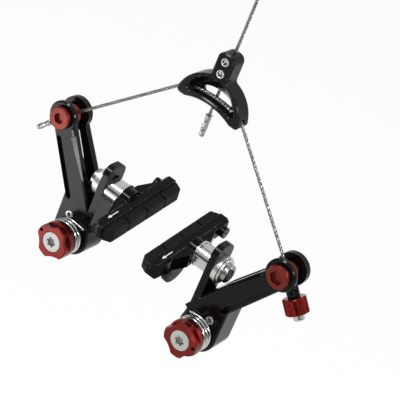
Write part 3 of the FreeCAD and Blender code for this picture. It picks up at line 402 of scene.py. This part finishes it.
# This black's lighter edge colour is a painted highlight along the edges, partly also rubbed paint.
holder_black = make_finish(
    "holder_black_paint", ((0.0012, 0.0012, 0.0013), (0.0025, 0.0025, 0.0027)), (0.08, 0.16),
    specular=0.07, edge_wear_and_highlight=(0.16, 0.16, 0.16), edge=0.0004)
arrow_white = make_finish(
    "arrow_white_print", ((0.7, 0.7, 0.69), (0.82, 0.82, 0.81)), (0.45, 0.6))
dress_pair(holder_black, "pad_holder")


def add_piece(name, bm, material, body):
    """Makes an object from a bmesh in millimetres, in the part's own frame, and joins a body."""
    bmesh.ops.scale(bm, vec=(MM, MM, MM), verts=bm.verts)
    bmesh.ops.recalc_face_normals(bm, faces=bm.faces)
    mesh = bpy.data.meshes.new(name)
    bm.to_mesh(mesh)
    bm.free()
    mesh.materials.append(material)
    piece = bpy.data.objects.new(name, mesh)
    scene.collection.objects.link(piece)
    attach(piece, body)
    return piece


def add_arrow(side, sign):
    bm = bmesh.new()
    neck = ARROW_TIP_Y + ARROW_HEAD
    tail = ARROW_TIP_Y + ARROW_LENGTH
    outline = ((0, ARROW_TIP_Y), (ARROW_HEAD_HALF, neck), (ARROW_HALF, neck), (ARROW_HALF, tail),
               (-ARROW_HALF, tail), (-ARROW_HALF, neck), (-ARROW_HEAD_HALF, neck))
    face = bm.faces.new([bm.verts.new((sign * ARROW_X + x, y, ARROW_Z)) for x, y in outline])
    raised = bmesh.ops.extrude_face_region(bm, geom=[face])
    moved = [v for v in raised["geom"] if isinstance(v, bmesh.types.BMVert)]
    bmesh.ops.translate(bm, verts=moved, vec=(0, 0, ARROW_THICK))
    tilt = Matrix.Rotation(math.radians(PAD_TILT), 3, "X")
    bmesh.ops.rotate(bm, verts=bm.verts, cent=(0, POST_Y, POST_Z), matrix=tilt)
    piece = add_piece(side + "_holder_arrow", bm, arrow_white, side + "_pad_body")


add_arrow("left", -1)
add_arrow("right", 1)


# Brake pads: moulded rubber with a matt skin, notched across for water. A small blackened
# screw in the holder's back keeps each pad from sliding out.
pad_rubber = make_finish(
    "pad_rubber", ((0.004, 0.004, 0.004), (0.008, 0.008, 0.008)), (0.5, 0.7),
    specular=0.08, edge_wear_and_highlight=(0.025, 0.025, 0.025), grain=3000.0, bump=0.3)
black_steel = make_finish(
    "blackened_steel", ((0.03, 0.03, 0.03), (0.06, 0.06, 0.06)), (0.2, 0.34),
    metallic=1.0, edge_wear_and_highlight=(0.4, 0.4, 0.4))
dress_pair(pad_rubber, "brake_pad")
dress_pair(black_steel, "pad_screw")


# Pad posts and washers: polished steel, with domed and cupped pairs on both sides of the
# lug so that the pad can be tilted, and a darker nut outside.
polished_steel = make_finish(
    "polished_steel", ((0.42, 0.42, 0.42), (0.52, 0.52, 0.51)), (0.05, 0.12),
    metallic=1.0, edge_wear_and_highlight=(0.9, 0.9, 0.9))
nut_steel = make_finish(
    "nut_steel", ((0.2, 0.2, 0.2), (0.32, 0.32, 0.31)), (0.16, 0.28),
    metallic=1.0, edge_wear_and_highlight=(0.7, 0.7, 0.7))
dress_pair(polished_steel, "pad_post", "inner_cup_washer", "inner_dome_washer")
dress_pair(bolt_steel, "outer_cup_washer", "outer_dome_washer")
dress_pair(nut_steel, "pad_nut")


# Cable hanger: a yoke in gloss black over the straddle cable. Two steel set screws pinch
# the main cable in its stem.
# The hanger's lighter edge colour is a painted highlight along its edges, partly also rubbed paint.
gloss_black = make_finish(
    "hanger_gloss_black", ((0.002, 0.002, 0.0022), (0.004, 0.004, 0.0043)), (0.1, 0.2),
    specular=0.13, edge_wear_and_highlight=(0.24, 0.24, 0.24), edge=0.0004)
dress(gloss_black, "cable_hanger")
dress(turned_steel, "hanger_set_screws")


# Cables: steel wires laid round a core in a long twist. The main cable runs straight down
# through the hanger's stem. The straddle cable lies on the hanger's saddle, and its two
# runs go straight to the anchors and bend a little inside them.
CABLE_R = 0.8
WIRE_COUNT = 7
WIRE_R = 0.24
WIRE_SIDES = 6
CORE_R = 0.36
CORE_SIDES = 8
LAY_LENGTH = 10.0
STEPS_PER_TURN = 22
STRADDLE_Y = -7.2
MAIN_Y = -5.5
MAIN_END = 82.4
MAIN_TOP = 158.95
ANCHOR = Vector((65.4, STRADDLE_Y, 51.5))
SADDLE_LEAVE = Vector((16.68, STRADDLE_Y, 99.62))
SADDLE_R = 50.0
SADDLE_END_R = 3.0
SADDLE_HALF = 15.5
SADDLE_TOP = 102.8
SPLICE_GAP = 0.4
TAIL_BEND = math.radians(5.0)
TAIL_BEND_R = 12.0
LEFT_TAIL = 21.4
RIGHT_TAIL = 20.9

cable_steel = make_finish(
    "cable_steel", ((0.22, 0.22, 0.22), (0.38, 0.38, 0.37)), (0.2, 0.34),
    metallic=1.0, smudge=300.0)


def twisted_wires(length):
    """A cable along +Z from the origin: wires twisted round a core, closed at both ends."""
    bm = bmesh.new()
    reach = CABLE_R - WIRE_R
    bmesh.ops.create_circle(bm, segments=CORE_SIDES, radius=CORE_R)
    for step in range(WIRE_COUNT):
        turn = 2 * math.pi * step / WIRE_COUNT
        place = Matrix.Translation((reach * math.cos(turn), reach * math.sin(turn), 0))
        bmesh.ops.create_circle(bm, segments=WIRE_SIDES, radius=WIRE_R, matrix=place)
    steps = math.ceil(STEPS_PER_TURN * length / LAY_LENGTH)
    bmesh.ops.spin(bm, geom=bm.verts[:] + bm.edges[:], cent=(0, 0, 0), axis=(0, 0, 1),
                   dvec=(0, 0, length / steps), angle=2 * math.pi * length / LAY_LENGTH,
                   steps=steps)
    bmesh.ops.holes_fill(bm, edges=[e for e in bm.edges if e.is_boundary], sides=0)
    return bm


def lay_along(bm, route):
    """Moves a piece made along +Z to a route, which gives a point and a side at each length."""
    for vert in bm.verts:
        point, side = route(vert.co.z)
        vert.co = point + side * vert.co.x + Vector((0, 1, 0)) * vert.co.y


def main_route(length):
    return Vector((0, MAIN_Y, MAIN_END + length)), Vector((1, 0, 0))


run_way = (ANCHOR - SADDLE_LEAVE).normalized()
run_side = Vector((-run_way.z, 0, run_way.x))
run_start = SADDLE_LEAVE + run_way * SPLICE_GAP
bend_reach = TAIL_BEND_R * math.tan(TAIL_BEND / 2)
bend_arc = TAIL_BEND_R * TAIL_BEND
run_length = (ANCHOR - run_start).length - bend_reach
bend_centre = run_start + run_way * run_length - run_side * TAIL_BEND_R


def run_route(length):
    """The right run: straight, a slight bend in the anchor, and straight again."""
    beyond = length - run_length
    bent = min(max(beyond, 0), bend_arc)
    turn = Matrix.Rotation(bent / TAIL_BEND_R, 3, "Y")
    side = turn @ run_side
    return bend_centre + side * TAIL_BEND_R + turn @ run_way * (beyond - bent), side


saddle_turn = math.asin(SADDLE_HALF / SADDLE_R)
saddle_arc = SADDLE_R * saddle_turn
end_turn = math.atan2(-run_way.z, run_way.x) - saddle_turn
saddle_length = 2 * (saddle_arc + SADDLE_END_R * end_turn)


def saddle_route(length):
    """The middle: a shallow arc over the saddle with a tight arc at each end."""
    along = length - saddle_length / 2
    sign = 1 if along >= 0 else -1
    turn = min(abs(along), saddle_arc) / SADDLE_R
    centre = Vector((0, STRADDLE_Y, SADDLE_TOP - SADDLE_R))
    radius = SADDLE_R
    if abs(along) > saddle_arc:
        centre += Vector((math.sin(turn), 0, math.cos(turn))) * (SADDLE_R - SADDLE_END_R)
        radius = SADDLE_END_R
        turn += (abs(along) - saddle_arc) / SADDLE_END_R
    side = Vector((math.sin(turn), 0, math.cos(turn)))
    point = centre + side * radius
    return Vector((sign * point.x, point.y, point.z)), Vector((sign * side.x, 0, side.z))


def mirror_across(bm):
    bmesh.ops.scale(bm, vec=(-1, 1, 1), verts=bm.verts)


def add_cable(name, length, route, body, node, mirror=False):
    bm = twisted_wires(length)
    lay_along(bm, route)
    if mirror:
        mirror_across(bm)
    piece = add_piece(name, bm, cable_steel, body)
    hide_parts(node)


anchor_length = run_length + bend_arc - bend_reach
add_cable("main_cable_wires", MAIN_TOP - MAIN_END, main_route, "hanger_body", "main_cable")
add_cable("straddle_middle_wires", saddle_length, saddle_route, "hanger_body",
          "straddle_cable_middle")
add_cable("left_straddle_wires", anchor_length + LEFT_TAIL, run_route, "left_anchor_body",
          "left_straddle_cable", mirror=True)
add_cable("right_straddle_wires", anchor_length + RIGHT_TAIL, run_route, "right_anchor_body",
          "right_straddle_cable")


# Cable end caps: thin aluminium tubes with a flared lip, pinched on the cable's ends with
# pliers so that they are pressed in at several places. A black ferrule ends the housing.
CAP_R = 1.4
CAP_SIDES = 32
CAP_RING = 0.3
LIP_R = 1.7
LIP_LENGTH = 0.35
LIP_END = 0.75
END_LENGTH = 0.6
END_CORNER = ((0.25, 0.15), (0.6, 0.0))
PINCH_DEPTH = 0.42
PINCH_PITCH = 2.4
PINCH_RIPPLE = 0.55
PINCH_START = 1.2
PINCH_STOP = 0.4
MERGE_DISTANCE = 1e-4
MAIN_CAP_TOP = 92.95
MAIN_CAP_LENGTH = 11.2
TAIL_CAP_START = 13.0
TAIL_CAP_LENGTH = 9.6

cap_metal = make_finish(
    "cap_metal", ((0.26, 0.26, 0.26), (0.4, 0.4, 0.39)), (0.1, 0.2), metallic=1.0)
tail_way = Matrix.Rotation(TAIL_BEND, 3, "Y") @ run_way
tail_side = Vector((-tail_way.z, 0, tail_way.x))


def pinched_cap(length):
    """A cap along +Z: a turned outline, then pressed in from two sides along a slow twist."""
    bm = bmesh.new()
    outline = [(CABLE_R, 0.0), (LIP_R, 0.0), (LIP_R, LIP_LENGTH), (CAP_R, LIP_END)]
    rings = math.ceil((length - 2 * LIP_END) / CAP_RING)
    wall = length - LIP_END - END_LENGTH
    outline += [(CAP_R, LIP_END + wall * (step + 1) / rings) for step in range(rings)]
    outline += [(CAP_R - inwards, length - back) for inwards, back in END_CORNER]
    outline += [(0.0, length)]
    verts = [bm.verts.new((r, 0, z)) for r, z in outline]
    for first, second in zip(verts, verts[1:]):
        bm.edges.new((first, second))
    bmesh.ops.spin(bm, geom=bm.verts[:] + bm.edges[:], cent=(0, 0, 0), axis=(0, 0, 1),
                   angle=2 * math.pi, steps=CAP_SIDES, use_merge=True)
    bmesh.ops.remove_doubles(bm, verts=bm.verts, dist=MERGE_DISTANCE)
    for vert in bm.verts:
        if PINCH_START < vert.co.z < length - PINCH_STOP:
            turn = math.atan2(vert.co.y, vert.co.x)
            wave = math.cos(2 * turn + math.pi * vert.co.z / PINCH_PITCH)
            ripple = 0.5 - 0.5 * math.cos(2 * math.pi * vert.co.z / PINCH_PITCH)
            press = PINCH_DEPTH * max(0.0, wave) * (1 - PINCH_RIPPLE * ripple)
            vert.co.x -= press * math.cos(turn)
            vert.co.y -= press * math.sin(turn)
    return bm


def main_cap_route(length):
    return Vector((0, MAIN_Y, MAIN_CAP_TOP - length)), Vector((1, 0, 0))


def tail_cap_route(length):
    return ANCHOR + tail_way * (TAIL_CAP_START + length), tail_side


def add_cap(name, length, route, body, node, mirror=False):
    bm = pinched_cap(length)
    lay_along(bm, route)
    if mirror:
        mirror_across(bm)
    piece = add_piece(name, bm, cap_metal, body)
    for polygon in piece.data.polygons:
        polygon.use_smooth = True
    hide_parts(node)


add_cap("main_cable_cap", MAIN_CAP_LENGTH, main_cap_route, "hanger_body", "main_cable_crimp")
add_cap("left_cable_cap", TAIL_CAP_LENGTH, tail_cap_route, "left_anchor_body",
        "left_cable_crimp", mirror=True)
dress(holder_black, "housing_ferrule")


# Barrel adjuster: a black tube with a cut thread in the right anchor, a fluted red knob that
# turns on it, and the polished nipple on the straddle cable's end.
THREAD_START = 6.6
THREAD_END = 11.7
THREAD_PITCH = 0.8
THREAD_ROOT_R = 2.86
THREAD_CREST_R = 3.12
THREAD_FORM = ((THREAD_ROOT_R, 0.0), (THREAD_CREST_R, 0.32), (THREAD_CREST_R, 0.48),
               (THREAD_ROOT_R, 0.8))  # radius, share of the pitch
THREAD_SIDES = 28

dress(holder_black, "right_adjuster_tube")
dress(red_polished, "right_adjuster_knob")
dress(polished_steel, "right_cable_nipple")


def tube_route(length):
    return ANCHOR + tail_way * (THREAD_START + length), tail_side


def add_thread():
    bm = bmesh.new()
    bm.faces.new([bm.verts.new((r, 0, share * THREAD_PITCH)) for r, share in THREAD_FORM])
    turns = (THREAD_END - THREAD_START) / THREAD_PITCH - 1
    steps = math.ceil(turns * THREAD_SIDES)
    bmesh.ops.spin(bm, geom=bm.verts[:] + bm.edges[:] + bm.faces[:], cent=(0, 0, 0),
                   axis=(0, 0, 1), dvec=(0, 0, THREAD_PITCH * turns / steps),
                   angle=2 * math.pi * turns, steps=steps)
    bmesh.ops.holes_fill(bm, edges=[e for e in bm.edges if e.is_boundary], sides=0)
    lay_along(bm, tube_route)
    piece = add_piece("right_adjuster_thread", bm, holder_black, "right_anchor_body")


add_thread()
